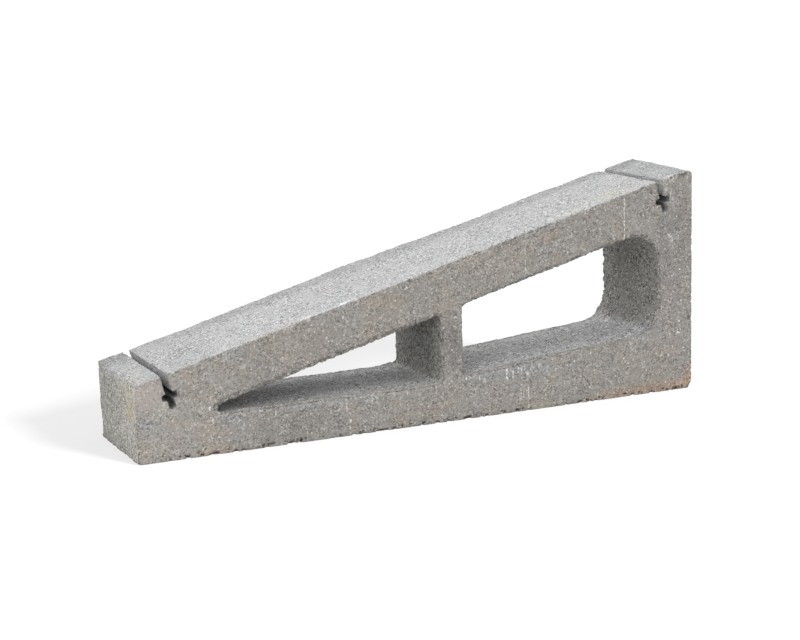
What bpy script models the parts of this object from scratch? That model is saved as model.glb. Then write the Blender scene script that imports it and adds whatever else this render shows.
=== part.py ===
"""Solar ballast mount: a cast concrete wedge that holds panels at a slope by its own weight.

Metres, +Z up. The origin is the middle of the base, the low end is at -X, the high end
at +X and the front face at -Y. Two windows lighten the wedge and leave a rib between
them. A keyhole-like slot across each end of the sloped deck takes the head of a bolt.
"""
from math import atan2, cos, pi, tan

import bmesh
import bpy
from mathutils import Matrix, Vector

# Overall sizes
LENGTH = 1.000
WIDTH = 0.200
LOW_END_HEIGHT = 0.125
HIGH_END_HEIGHT = 0.385
ARRIS_RADIUS = 0.0025

# Windows, as they are in the front face
DECK_THICKNESS = 0.075
LOW_SILL_HEIGHT = 0.065
TOE_GAP = 0.016
RIB_FROM_LOW_END = 0.521
RIB_THICKNESS = 0.036
HIGH_SILL_AT_RIB = 0.073
HIGH_SILL_AT_HEEL = 0.105
HEEL_THICKNESS = 0.065
WINDOW_CORNER_RADIUS = 0.010
TOE_CORNER_RADIUS = 0.007
HEEL_UPPER_RADIUS = 0.050
HEEL_LOWER_RADIUS = 0.055

# The cores that leave the windows taper, so each side moves out by this much at the back
CORE_DRAFT = 0.006

# Bolt slots, measured along the deck and square to it
LOW_SLOT_SETBACK = 0.048
HIGH_SLOT_SETBACK = 0.069
SLIT_WIDTH = 0.010
SLIT_DEPTH = 0.031
HEAD_SPAN = 0.025
HEAD_HEIGHT = 0.010
TAIL_DEPTH = 0.015
SLOT_CORNER_RADIUS = 0.002

# Cutters stand past the block by this much, and a fillet has this many steps
OVERCUT = 0.010
FILLET_STEPS = 10

CONCRETE_COLOUR = (0.36, 0.34, 0.31, 1.0)
CONCRETE_ROUGHNESS = 0.95

LOW_X = -LENGTH / 2
HIGH_X = LENGTH / 2
FRONT_Y = -WIDTH / 2
SLOPE = atan2(HIGH_END_HEIGHT - LOW_END_HEIGHT, LENGTH)
DECK_EDGE_LENGTH = LENGTH / cos(SLOPE)


def deck_height(x):
    """Height of the sloped deck at x."""
    return LOW_END_HEIGHT + (x - LOW_X) * tan(SLOPE)


def deck_underside(x):
    """Height of the windows' upper side, which runs along under the deck."""
    return deck_height(x) - DECK_THICKNESS / cos(SLOPE)


def remove_everything():
    for obj in list(bpy.data.objects):
        bpy.data.objects.remove(obj, do_unlink=True)


def new_collection(name):
    collection = bpy.data.collections.new(name)
    bpy.context.scene.collection.children.link(collection)
    return collection


def concrete():
    material = bpy.data.materials.new("concrete")
    material.use_nodes = True
    shader = material.node_tree.nodes["Principled BSDF"]
    shader.inputs["Base Color"].default_value = CONCRETE_COLOUR
    shader.inputs["Roughness"].default_value = CONCRETE_ROUGHNESS
    shader.inputs["Metallic"].default_value = 0.0
    return material


def moved_out(corners, distance):
    """The outline with each side moved out by distance; corners run anticlockwise."""
    result = []
    for i, corner in enumerate(corners):
        before = (corner - corners[i - 1]).normalized()
        after = (corners[(i + 1) % len(corners)] - corner).normalized()
        out_before = Vector((before.y, -before.x))
        out_after = Vector((after.y, -after.x))
        bisector = (out_before + out_after).normalized()
        result.append(corner + bisector * (distance / bisector.dot(out_before)))
    return result


def filleted(corners, radii):
    """The outline with each corner turned into an arc, as long as its sides have room."""
    points = []
    for i, (corner, radius) in enumerate(zip(corners, radii)):
        to_last = corners[i - 1] - corner
        to_next = corners[(i + 1) % len(corners)] - corner
        room = 0.48 * min(to_last.length, to_next.length)
        half_angle = to_last.angle(to_next) / 2
        reach = min(radius / tan(half_angle), room)
        if reach == 0:
            points.append(corner.copy())
            continue
        start = corner + to_last.normalized() * reach
        end = corner + to_next.normalized() * reach
        middle = (to_last.normalized() + to_next.normalized()).normalized()
        centre = corner + middle * (reach / cos(half_angle))
        spoke = start - centre
        sweep = spoke.angle_signed(end - centre)
        for step in range(FILLET_STEPS + 1):
            turn = Matrix.Rotation(-sweep * step / FILLET_STEPS, 2)
            points.append(centre + turn @ spoke)
    return points


def wedge(collection, material):
    """The plain block: a box whose top follows the deck, with its arrises rounded."""
    mesh = bpy.data.meshes.new("ballast_block")
    bm = bmesh.new()
    bmesh.ops.create_cube(bm, size=1.0)
    for vert in bm.verts:
        vert.co.x *= LENGTH
        vert.co.y *= WIDTH
        vert.co.z = deck_height(vert.co.x) if vert.co.z > 0 else 0.0
    bm.to_mesh(mesh)
    bm.free()
    mesh.materials.append(material)
    block = bpy.data.objects.new("ballast_block", mesh)
    collection.objects.link(block)
    bevel = block.modifiers.new("arrises", "BEVEL")
    bevel.width = ARRIS_RADIUS
    bevel.segments = 3
    bevel.limit_method = "ANGLE"
    return block


def as_cutter(obj, collection):
    collection.objects.link(obj)
    obj.hide_render = True
    obj.display_type = "WIRE"
    return obj


def window_core(name, corners, radii, collection):
    """A tapering core through the block: a loft from its front outline to its wider back one."""
    mesh = bpy.data.meshes.new(name)
    bm = bmesh.new()
    ends = []
    for y in (FRONT_Y - OVERCUT, FRONT_Y + WIDTH + OVERCUT):
        growth = CORE_DRAFT * (y - FRONT_Y) / WIDTH
        outline = filleted(moved_out(corners, growth), radii)
        ends.append(bm.faces.new([bm.verts.new((p.x, y, p.y)) for p in outline]))
    bmesh.ops.bridge_loops(bm, edges=[edge for face in ends for edge in face.edges])
    bmesh.ops.recalc_face_normals(bm, faces=bm.faces)
    bm.to_mesh(mesh)
    bm.free()
    return as_cutter(bpy.data.objects.new(name, mesh), collection)


def low_window(collection):
    """The long thin window between the low end and the rib."""
    toe_height = LOW_SILL_HEIGHT + TOE_GAP
    toe_x = LOW_X + (toe_height - deck_underside(LOW_X)) / tan(SLOPE)
    rib_x = LOW_X + RIB_FROM_LOW_END
    corners = [
        Vector((toe_x, LOW_SILL_HEIGHT)),
        Vector((rib_x, LOW_SILL_HEIGHT)),
        Vector((rib_x, deck_underside(rib_x))),
        Vector((toe_x, toe_height)),
    ]
    radii = [TOE_CORNER_RADIUS, WINDOW_CORNER_RADIUS, WINDOW_CORNER_RADIUS, TOE_CORNER_RADIUS]
    return window_core("low_window_core", corners, radii, collection)


def high_window(collection):
    """The tall window between the rib and the heel, with two large radii at the heel."""
    rib_x = LOW_X + RIB_FROM_LOW_END + RIB_THICKNESS
    heel_x = HIGH_X - HEEL_THICKNESS
    corners = [
        Vector((rib_x, HIGH_SILL_AT_RIB)),
        Vector((heel_x, HIGH_SILL_AT_HEEL)),
        Vector((heel_x, deck_underside(heel_x))),
        Vector((rib_x, deck_underside(rib_x))),
    ]
    radii = [WINDOW_CORNER_RADIUS, HEEL_LOWER_RADIUS, HEEL_UPPER_RADIUS, WINDOW_CORNER_RADIUS]
    return window_core("high_window_core", corners, radii, collection)


def slot_outline():
    """Slit, cross-wise pocket for the bolt's head, and tail below it; v is 0 at the deck."""
    slit = SLIT_WIDTH / 2
    head = HEAD_SPAN / 2
    head_top = -SLIT_DEPTH
    head_bottom = head_top - HEAD_HEIGHT
    tail_bottom = head_bottom - TAIL_DEPTH
    right_side = [
        (slit, tail_bottom),
        (slit, head_bottom),
        (head, head_bottom),
        (head, head_top),
        (slit, head_top),
        (slit, OVERCUT),
    ]
    left_side = [(-u, v) for u, v in reversed(right_side)]
    corners = [Vector(corner) for corner in right_side + left_side]
    radii = [SLOT_CORNER_RADIUS if corner.y < 0 else 0.0 for corner in corners]
    return filleted(corners, radii)


def slot_cutter(name, along_deck, collection):
    """The slot's outline run through the block, square to the deck, at a place along it."""
    curve = bpy.data.curves.new(name, "CURVE")
    curve.dimensions = "2D"
    curve.fill_mode = "BOTH"
    curve.extrude = WIDTH / 2 + OVERCUT
    outline = slot_outline()
    spline = curve.splines.new("POLY")
    spline.points.add(len(outline) - 1)
    for point, place in zip(spline.points, outline):
        point.co = (place.x, place.y, 0.0, 1.0)
    spline.use_cyclic_u = True
    drawn = bpy.data.objects.new(name + "_outline", curve)
    bpy.context.scene.collection.objects.link(drawn)

    upright = Matrix.Rotation(pi / 2, 4, "X")
    tilt = Matrix.Rotation(-SLOPE, 4, "Y")
    to_low_edge = Matrix.Translation((LOW_X, 0.0, LOW_END_HEIGHT))
    drawn.matrix_world = to_low_edge @ tilt @ Matrix.Translation((along_deck, 0.0, 0.0)) @ upright
    bpy.context.view_layer.update()

    graph = bpy.context.evaluated_depsgraph_get()
    mesh = bpy.data.meshes.new_from_object(drawn.evaluated_get(graph))
    mesh.name = name
    bm = bmesh.new()
    bm.from_mesh(mesh)
    bmesh.ops.remove_doubles(bm, verts=bm.verts, dist=0.00001)
    bmesh.ops.recalc_face_normals(bm, faces=bm.faces)
    bm.to_mesh(mesh)
    bm.free()
    cutter = as_cutter(bpy.data.objects.new(name, mesh), collection)
    cutter.matrix_world = drawn.matrix_world
    bpy.data.objects.remove(drawn, do_unlink=True)
    bpy.data.curves.remove(curve)
    return cutter


def cut(block, cutter):
    boolean = block.modifiers.new(cutter.name, "BOOLEAN")
    boolean.operation = "DIFFERENCE"
    boolean.solver = "EXACT"
    boolean.object = cutter


def main():
    remove_everything()
    parts = new_collection("solar_ballast_mount")
    cutters = new_collection("cutters")
    block = wedge(parts, concrete())
    cut(block, low_window(cutters))
    cut(block, high_window(cutters))
    cut(block, slot_cutter("low_slot", LOW_SLOT_SETBACK, cutters))
    cut(block, slot_cutter("high_slot", DECK_EDGE_LENGTH - HIGH_SLOT_SETBACK, cutters))
    bpy.context.view_layer.update()


main()
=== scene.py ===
"""Looks for the cast concrete ballast block: its worn surface, its concrete, studio light and camera."""
import math

import bmesh
import bpy
import numpy as np
from mathutils import Matrix, Vector, kdtree


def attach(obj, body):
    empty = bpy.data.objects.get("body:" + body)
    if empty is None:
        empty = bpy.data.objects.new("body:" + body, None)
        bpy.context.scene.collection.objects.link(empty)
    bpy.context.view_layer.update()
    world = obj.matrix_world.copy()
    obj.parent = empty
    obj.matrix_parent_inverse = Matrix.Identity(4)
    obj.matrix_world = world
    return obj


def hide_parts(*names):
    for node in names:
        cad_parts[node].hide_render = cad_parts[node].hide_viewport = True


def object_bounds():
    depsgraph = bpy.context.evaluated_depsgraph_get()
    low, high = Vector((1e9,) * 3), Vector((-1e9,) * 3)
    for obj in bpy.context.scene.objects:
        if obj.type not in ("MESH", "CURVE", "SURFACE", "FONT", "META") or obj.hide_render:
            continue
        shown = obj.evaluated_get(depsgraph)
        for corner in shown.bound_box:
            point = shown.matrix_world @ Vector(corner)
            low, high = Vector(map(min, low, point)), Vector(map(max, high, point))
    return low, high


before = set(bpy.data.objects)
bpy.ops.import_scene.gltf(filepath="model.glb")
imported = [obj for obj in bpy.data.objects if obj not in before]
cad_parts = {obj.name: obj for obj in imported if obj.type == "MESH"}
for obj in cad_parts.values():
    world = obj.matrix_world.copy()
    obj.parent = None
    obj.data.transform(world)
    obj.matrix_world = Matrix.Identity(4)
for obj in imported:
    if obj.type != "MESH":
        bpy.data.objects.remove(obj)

cad_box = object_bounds()

NODE = "ballast_block"

# Surface detail; lengths are in metres unless a comment says otherwise
VOXEL = 0.0015
TARGET_TRIANGLES = 194000
WELD = 0.00001
TINY = 1e-12
ARRIS_ANGLE = math.radians(15)
ARRIS_SAMPLE = 0.001

# The wedge's deck rises from the low end to the high end
LOW_X, FRONT_Y, BASE_Z = cad_box[0]
HIGH_X, BACK_Y, _ = cad_box[1]
LOW_TOP = 0.125
DECK_RISE = 0.26
SLOPE = math.atan(DECK_RISE)
ALONG_SLOPE = np.array([math.cos(SLOPE), 0.0, math.sin(SLOPE)])
DECK_NORMAL = np.array([-math.sin(SLOPE), 0.0, math.cos(SLOPE)])
DECK_POINT = np.array([LOW_X, 0.0, LOW_TOP])

# The wedge's sides: outward normal and a point of each
FRONT = (np.array([0.0, -1.0, 0.0]), np.array([0.0, FRONT_Y, 0.0]))
BACK = (np.array([0.0, 1.0, 0.0]), np.array([0.0, BACK_Y, 0.0]))
LOW_END = (np.array([-1.0, 0.0, 0.0]), np.array([LOW_X, 0.0, 0.0]))
HIGH_END = (np.array([1.0, 0.0, 0.0]), np.array([HIGH_X, 0.0, 0.0]))
BASE = (np.array([0.0, 0.0, -1.0]), np.array([0.0, 0.0, BASE_Z]))
DECK = (DECK_NORMAL, DECK_POINT)
SIDES = (FRONT, BACK, LOW_END, HIGH_END, BASE, DECK)

# Windows: the rib stands between the low one and the high one, whose sill rises
RIB_X = 0.040
LOW_WINDOW_END = 0.036
LOW_SILL = 0.065
HIGH_SILL_X = (0.057, 0.435)
HIGH_SILL = (0.073, 0.105)

# Sills: how much lower they lie at the back, and where their arrises are worn round
SILL_TAPER = 0.006
SILL_X = (-0.365, 0.425)
SILL_BAND = 0.009

# Bolt slots: setbacks from the deck's ends to their slits, whose outer walls are on the end blocks
SLIT_HALF_WIDTH = 0.005
LOW_SLOT_SETBACK = 0.048
HIGH_SLOT_SETBACK = 0.069
LOW_SLOT_WALL = LOW_SLOT_SETBACK - SLIT_HALF_WIDTH
HIGH_SLOT_WALL = (HIGH_X - LOW_X) / math.cos(SLOPE) - HIGH_SLOT_SETBACK + SLIT_HALF_WIDTH
SLIT_DEPTH = 0.031
SLOT_DEPTH = 0.062
SLOTS_BEYOND_X = (-0.430, 0.400)
LOW_LIP_RADIUS = 0.0022
HIGH_LIP_RADIUS = 0.0040
LIP_MARGIN = 0.001

# Points this close under a side belong to it: up to the first number fully, from the second not at all
SHARPEN_BAND = (0.0009, 0.0016)
ON_SIDE = 0.0006

# Arrises: how far from one its wear reaches, and how near a side makes it that side's arris
CRUMBLE_LIMIT = 0.0065
ARRIS_BAND = 0.006

# Places worn in their own way, and the smooth corner as x, y and height
RIB_RIGHT_X = (0.045, 0.075)
RIB_RIGHT_FOOT = 0.085
ROUGH_DECK_X = (-0.01, 0.04, 0.20, 0.24)
WHOLE_BASE_X = 0.200
SMOOTH_CORNER = (-0.452, -0.09, 0.060)

# How far the surface lies under the CAD one before its relief; below 0 it leaves room for wear
SKIN = 0.0001
SLOT_SKIN = 0.0008
END_SKIN = -0.0003
BASE_SKIN = -0.0006

# Depths of the pits, and of the crumbling and chips that show as full damage
PIT_DEPTH = 0.0011
FULL_CRUMBLE = 0.0018
FULL_CHIP = 0.0012

# Chips: place, radius and depth
CHIPS = [
    ((-0.205, -0.10, 0.2015), 0.006, 0.0025),
    ((-0.192, -0.10, 0.205), 0.005, 0.002),
    ((-0.035, -0.10, 0.2425), 0.004, 0.0025),
    ((0.084, -0.10, 0.2768), 0.005, 0.002),
    ((0.093, -0.10, 0.2792), 0.004, 0.0015),
    ((0.4002, -0.10, 0.3566), 0.0035, 0.0022),
    ((0.4199, -0.10, 0.3485), 0.0045, 0.0042),
    ((0.4602, -0.10, 0.3701), 0.0035, 0.0025),
    ((0.4662, -0.10, 0.3748), 0.004, 0.0032),
    ((0.4762, -0.10, 0.3745), 0.005, 0.0038),
    ((0.4828, -0.10, 0.373), 0.0045, 0.0038),
    ((0.4896, -0.10, 0.3759), 0.0042, 0.0034),
    ((0.41, -0.10, 0.2738), 0.0035, 0.0022),
    ((0.4199, -0.10, 0.2572), 0.0035, 0.0022),
    ((0.496, -0.10, 0.1237), 0.0055, 0.0034),
    ((0.50, -0.10, 0.00), 0.01, 0.004),
]

# How much lower the deck's far side lies than a flat deck, along the block: x and millimetres
FAR_EDGE = [
    (-0.50, -2.0), (-0.45, -1.2), (-0.40, -0.5), (-0.37, -0.8), (-0.35, 1.0), (-0.33, -1.2), (-0.28, -0.3),
    (-0.24, -1.3), (-0.21, -0.9), (-0.18, -1.9), (-0.13, -1.4), (-0.10, -2.7), (-0.04, -3.0), (-0.01, -1.2),
    (0.02, -2.4), (0.06, -0.4), (0.08, 0.7), (0.11, 0.8), (0.15, 2.6), (0.18, 2.4), (0.20, 1.4), (0.25, 2.0),
    (0.28, 0.2), (0.32, 0.8), (0.36, 2.8), (0.40, 0.6), (0.50, 0.4),
]
MILLIMETRE = 0.001

# Radius that the deck's arrises are worn to: at the back, along the front, and along the high end
FAR_ROUND = 0.0025
NEAR_ROUND_X = (-0.500, 0.438, 0.448, 0.460, 0.500)
NEAR_ROUND = (0.0010, 0.0012, 0.0045, 0.0065, 0.0100)
HIGH_END_ROUND = (0.0110, 0.0060)

# The far arris is broken off beside and beyond the high slot: how far across the deck still reaches
BREAK_X = (0.385, 0.412, 0.428, 0.438, 0.480, 0.500)
BREAK_Y = (0.1020, 0.0955, 0.0862, 0.0860, 0.0850, 0.0815)
BREAK_ANGLE = math.radians(50)
BREAK_RAGGED = 0.002

# An integer hash, for repeatable noise
AXIS_PRIMES = (73856093, 19349663, 83492791)
SEED_PRIME = 2654435761
HASH_ROUNDS = ((15, 2246822519), (13, 3266489917))
LAST_SHIFT = 16
WORD = 0xFFFFFFFF
TOP_VALUE = 0xFFFFFF
LATTICE_SHIFT = 1000.0


def smoothstep(low, high, value):
    """Smooth change from 0 to 1 as value goes from low to high."""
    t = np.clip((value - low) / (high - low), 0.0, 1.0)
    return t * t * (3.0 - 2.0 * t)


def lattice_values(cells, seed):
    """A repeatable value from 0 to 1 for each whole-number cell."""
    word = np.uint64(WORD)
    x, y, z = (cells[:, axis].astype(np.uint64) * np.uint64(prime) for axis, prime in enumerate(AXIS_PRIMES))
    mixed = (x ^ y ^ z ^ np.uint64(seed * SEED_PRIME)) & word
    for shift, factor in HASH_ROUNDS:
        mixed = ((mixed ^ (mixed >> np.uint64(shift))) * np.uint64(factor)) & word
    mixed = (mixed ^ (mixed >> np.uint64(LAST_SHIFT))) & np.uint64(TOP_VALUE)
    return mixed.astype(float) / TOP_VALUE


def noise(points, size, seed):
    """Smooth noise from 0 to 1 with lumps about size across."""
    scaled = points / size + LATTICE_SHIFT
    cells = np.floor(scaled)
    blend = smoothstep(0.0, 1.0, scaled - cells)
    total = np.zeros(len(points))
    for corner in range(8):
        offset = np.array([corner & 1, corner >> 1 & 1, corner >> 2 & 1])
        weight = np.where(offset, blend, 1.0 - blend).prod(axis=1)
        total += weight * lattice_values(cells + offset, seed)
    return total


def chunks(points, size, seed):
    """One value from 0 to 1 for each irregular chunk of about this size."""
    scaled = points / size + LATTICE_SHIFT
    home = np.floor(scaled)
    nearest = np.full(len(points), np.inf)
    value = np.zeros(len(points))
    for step in np.ndindex(3, 3, 3):
        cell = home + np.array(step) - 1.0
        centre = cell + np.stack([lattice_values(cell, seed + axis) for axis in (1, 2, 3)], axis=1)
        distance = ((scaled - centre) ** 2).sum(axis=1)
        closer = distance < nearest
        nearest = np.where(closer, distance, nearest)
        value = np.where(closer, lattice_values(cell, seed), value)
    return value


def under(points, side):
    """How far each point lies under one of the wedge's sides."""
    normal, origin = side
    return (origin - points) @ normal


def to_side(points):
    """How far each point lies behind the nearer of the front and the back."""
    return np.minimum(points[:, 1] - FRONT_Y, BACK_Y - points[:, 1])


def to_end(points):
    """How far each point lies from the nearer end."""
    return np.minimum(points[:, 0] - LOW_X, HIGH_X - points[:, 0])


def sill_height(x):
    """Height of the windows' sills at the front."""
    (start, end), (low, high) = HIGH_SILL_X, HIGH_SILL
    rising = low + (x - start) * (high - low) / (end - start)
    return np.where(x < RIB_X, LOW_SILL, rising)


def edge_zones(points):
    """Where each point is: on one of the sides, in a bolt slot or in a window."""
    zones = {
        "side": to_side(points) < ON_SIDE,
        "deck": under(points, DECK) < ON_SIDE,
        "end": to_end(points) < ON_SIDE,
        "base": points[:, 2] - BASE_Z < ON_SIDE,
    }
    zones["inner"] = ~(zones["side"] | zones["deck"] | zones["end"] | zones["base"])
    zones["slot"] = zones["inner"] & (under(points, DECK) < SLOT_DEPTH)
    zones["window"] = zones["inner"] & ~zones["slot"]
    return zones


def sharpened(points):
    """Points just under a side moved out onto it, which makes the arrises crisp again."""
    points = points.copy()
    for side in SIDES:
        depth = under(points, side)
        push = depth * (1.0 - smoothstep(*SHARPEN_BAND, depth))
        points += side[0] * push[:, None]
    return points


def rounded(points, first, second, radius, where=True):
    """Points in the corner between two sides moved onto a round arris of this radius."""
    normal_a, normal_b = first[0], second[0]
    cosine = normal_a @ normal_b
    from_a = radius - under(points, first)
    from_b = radius - under(points, second)
    along_a = (from_a - cosine * from_b) / (1.0 - cosine**2)
    along_b = (from_b - cosine * from_a) / (1.0 - cosine**2)
    length = np.sqrt(np.maximum(along_a * from_a + along_b * from_b, TINY))
    outside = where & (along_a > 0) & (along_b > 0) & (length > radius)
    excess = np.where(outside, 1.0 - radius / length, 0.0)
    return points - (along_a * excess)[:, None] * normal_a - (along_b * excess)[:, None] * normal_b


def broken_off(points, ragged):
    """The far top arris cut back to a slanting break at the high end."""
    x, y, _ = points.T
    normal = math.cos(BREAK_ANGLE) * DECK_NORMAL + math.sin(BREAK_ANGLE) * BACK[0]
    edge = np.interp(x, BREAK_X, BREAK_Y) + ragged
    outside = math.cos(BREAK_ANGLE) * -under(points, DECK) + math.sin(BREAK_ANGLE) * (y - edge)
    return points - np.where(x > BREAK_X[0], np.maximum(outside, 0.0), 0.0)[:, None] * normal


def round_lips(points, uneven):
    """The bolt slots' outer lips on the front, worn round down to the wide head pockets."""
    along = (points - DECK_POINT) @ ALONG_SLOPE
    in_slit = under(points, DECK) < SLIT_DEPTH - 2 * LIP_MARGIN
    lips = [
        (1.0, LOW_SLOT_WALL, LOW_LIP_RADIUS, along < LOW_SLOT_WALL + LIP_MARGIN),
        (-1.0, HIGH_SLOT_WALL, HIGH_LIP_RADIUS, along > HIGH_SLOT_WALL - LIP_MARGIN),
    ]
    for facing, wall, radius, on_block in lips:
        side = (facing * ALONG_SLOPE, DECK_POINT + wall * ALONG_SLOPE)
        points = rounded(points, FRONT, side, radius * uneven, on_block & in_slit)
    return points


def worn_round(points):
    """The arrises worn round, most of all around the high end's top."""
    x, y, _ = points.T
    uneven = 0.75 + 0.5 * noise(points, 0.018, 15)
    near_radius = np.interp(x, NEAR_ROUND_X, NEAR_ROUND)
    end_radius = np.interp(y, (FRONT_Y, BACK_Y), HIGH_END_ROUND)
    points = round_lips(points, uneven)
    points = rounded(points, DECK, BACK, FAR_ROUND * uneven)
    points = broken_off(points, BREAK_RAGGED * (uneven - 1.0))
    points = rounded(points, DECK, FRONT, near_radius * uneven)
    return rounded(points, DECK, HIGH_END, end_radius * uneven)


def window_reach(points, bites, small_bites):
    """The windows' arrises, crumbled all round but less on the rib's right."""
    x, _, z = points.T
    reach = 0.0002 + 0.0045 * (bites > 0.55) * bites + 0.0018 * (small_bites > 0.50)
    rib_right = (x > RIB_RIGHT_X[0]) & (x < RIB_RIGHT_X[1]) & (z > RIB_RIGHT_FOOT)
    return np.where(rib_right, 0.35 * reach, reach)


def deck_reach(points, bites, small_bites, patchy):
    """The deck's arrises, with a rough stretch beyond the rib."""
    x = points[:, 0]
    start, full, fading, end = ROUGH_DECK_X
    rough = smoothstep(start, full, x) * smoothstep(end, fading, x)
    small = (0.0009 + 0.0010 * rough) * (small_bites > 0.70 - 0.20 * rough)
    large = (0.0026 + 0.0012 * rough) * (bites > 0.84 - 0.14 * rough) * patchy
    return 0.0001 + small + large


def end_reach(points, bites, small_bites, patchy):
    """The ends' upright arrises: crumbled at the low end and its far foot, nicked at the high end."""
    x, y, z = points.T
    low = x < 0.0
    crumbled = 0.0001 + 0.0006 * (small_bites > 0.60) * low + 0.0026 * (bites > 0.80) * patchy * low
    nicks = ~low * (0.0022 * (bites > 0.86) + 0.0012 * (small_bites > 0.84))
    far_foot = (0.0006 + 0.0030 * smoothstep(0.090, 0.0, z)) * low * (y > 0.0)
    return crumbled + nicks + far_foot


def base_reach(points, bites, small_bites):
    """The base's arrises: bitten here and there, but hardly at one smooth patch of the front."""
    x, y, _ = points.T
    reach = 0.0001 + 0.0066 * (bites > 0.90) * bites + 0.0010 * (small_bites > 0.80)
    reach = reach + 0.0046 * smoothstep(0.68, 0.84, noise(points, 0.010, 31))
    reach = np.where(x < LOW_X + ARRIS_BAND, 0.0014 + 0.25 * reach, reach)
    whole = smoothstep(0.024, 0.012, np.abs(x - WHOLE_BASE_X)) * (y < 0)
    return reach * (1.0 - 0.8 * whole)


def arris_reach(points):
    """How far from an arris it has crumbled, by where the arris is."""
    x, _, z = points.T
    bites = chunks(points, 0.0048, 20)
    small_bites = chunks(points, 0.0028, 30)
    patchy = smoothstep(0.35, 0.75, noise(points, 0.028, 8))
    to_deck = under(points, DECK)
    at_slot = (to_deck < SLOT_DEPTH) & ((x < SLOTS_BEYOND_X[0]) | (x > SLOTS_BEYOND_X[1]))
    places = [z < ARRIS_BAND, to_deck < ARRIS_BAND, to_end(points) < ARRIS_BAND, at_slot]
    reaches = [
        base_reach(points, bites, small_bites),
        deck_reach(points, bites, small_bites, patchy),
        end_reach(points, bites, small_bites, patchy),
        0.0001 + 0.0012 * (small_bites > 0.65),
    ]
    return np.select(places, reaches, window_reach(points, bites, small_bites))


def low_window_fill(points, above_sill):
    """The low window's sides: fuller at the toe and on the sill beside the rib."""
    x, y, z = points.T
    back = smoothstep(0.03, 0.09, y)
    toe = smoothstep(-0.352, -0.364, x) * smoothstep(0.069, 0.076, z)
    rib_left = smoothstep(0.000, 0.014, x)
    rib_foot = smoothstep(-0.010, 0.016, x)
    sill = 0.0018 + 0.0020 * rib_left + back * (0.0040 * rib_foot - 0.0011 - 0.0020 * rib_left)
    wall = 0.0025 - 0.0016 * rib_left
    return sill + (wall - sill) * above_sill + 0.0018 * toe


def high_window_fill(points, above_sill):
    """The high window's sides: fuller on the rib and leaner at the foot of the heel."""
    x, _, z = points.T
    rib_right = smoothstep(0.070, 0.060, x) * (x > RIB_X)
    heel_foot = smoothstep(0.190, 0.130, z) * (x > 0.40) * above_sill
    return 0.0006 + 0.0001 * above_sill + 0.0006 * rib_right - 0.0020 * heel_foot


def window_fill(points, near_edge):
    """How far the windows' sides stand out from the CAD sides, to leave room for wear."""
    x, y, z = points.T
    over_sill = z - sill_height(x)
    over_taper = over_sill + SILL_TAPER * (y - FRONT_Y) / (BACK_Y - FRONT_Y)
    above_sill = np.where(x < -0.05, over_sill > 0.006, smoothstep(0.001, 0.011, over_taper))
    low = low_window_fill(points, above_sill)
    high = high_window_fill(points, above_sill)
    return np.where(x < LOW_WINDOW_END, low, high) * (0.4 + 0.6 * near_edge)


def sill_rounding(points, distance):
    """How deep the sills' front and back arrises are worn round."""
    x, y, z = points.T
    at_sill = (np.abs(z - sill_height(x)) < SILL_BAND) & (to_side(points) < SILL_BAND)
    at_sill &= (x > SILL_X[0]) & (x < SILL_X[1])
    radius = 0.0045 + 0.0030 * noise(points, 0.040, 14)
    crisp_back = (y > 0) * (x < RIB_X) * smoothstep(-0.12, -0.02, x)
    radius = radius * (1.0 - 0.8 * crisp_back) + 0.0020 * (y > 0) * (x > RIB_X)
    return np.where(at_sill, 0.41 * radius * np.clip(1.0 - distance / radius, 0.0, None) ** 2, 0.0)


def chip_depth(points):
    """How deep the chips go, with rough floors."""
    depth = np.zeros(len(points))
    rough = 0.55 + 0.9 * noise(points, 0.003, 12)
    for centre, radius, deepest in CHIPS:
        distance = np.linalg.norm(points - np.array(centre), axis=1)
        depth = np.maximum(depth, deepest * np.clip(1.0 - (distance / radius) ** 2, 0.0, None) * rough)
    return depth


def roughness(points, zones, near_edge):
    """Lumps of the sand in the surface, coarsest near the arrises of the windows and the base."""
    places = [zones[name] for name in ("window", "slot", "base", "deck", "end")]
    window, base = 0.0010 + 0.0016 * near_edge, 0.0010 + 0.0010 * near_edge
    end = 0.0005 + 0.0010 * near_edge
    lumps = 0.60 * noise(points, 0.0058, 3) + 0.40 * noise(points, 0.0032, 4)
    return np.select(places, [window, 0.0004, base, 0.0005, end], 0.0004) * (lumps - 0.5)


def deck_unevenness(points, relief, on_deck):
    """Relief with the deck's wavy far side and the sag near its high near corner."""
    x, y, _ = points.T
    far_deck = on_deck * smoothstep(0.05, 0.09, y)
    relief = relief + far_deck * 0.0024 * (noise(points, 0.022, 9) - 0.5)
    sag = 0.0009 * smoothstep(0.455, 0.495, x) * smoothstep(0.02, -0.07, y)
    hump = MILLIMETRE * np.interp(x, *zip(*FAR_EDGE))
    return relief + sag * on_deck + smoothstep(0.02, 0.10, y) * hump * on_deck


def crumbling(points, distance):
    """How deep the arrises have crumbled."""
    depth = np.zeros(len(points))
    near = distance < CRUMBLE_LIMIT
    depth[near] = np.maximum(0.0, arris_reach(points[near]) - distance[near])
    return depth


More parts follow.
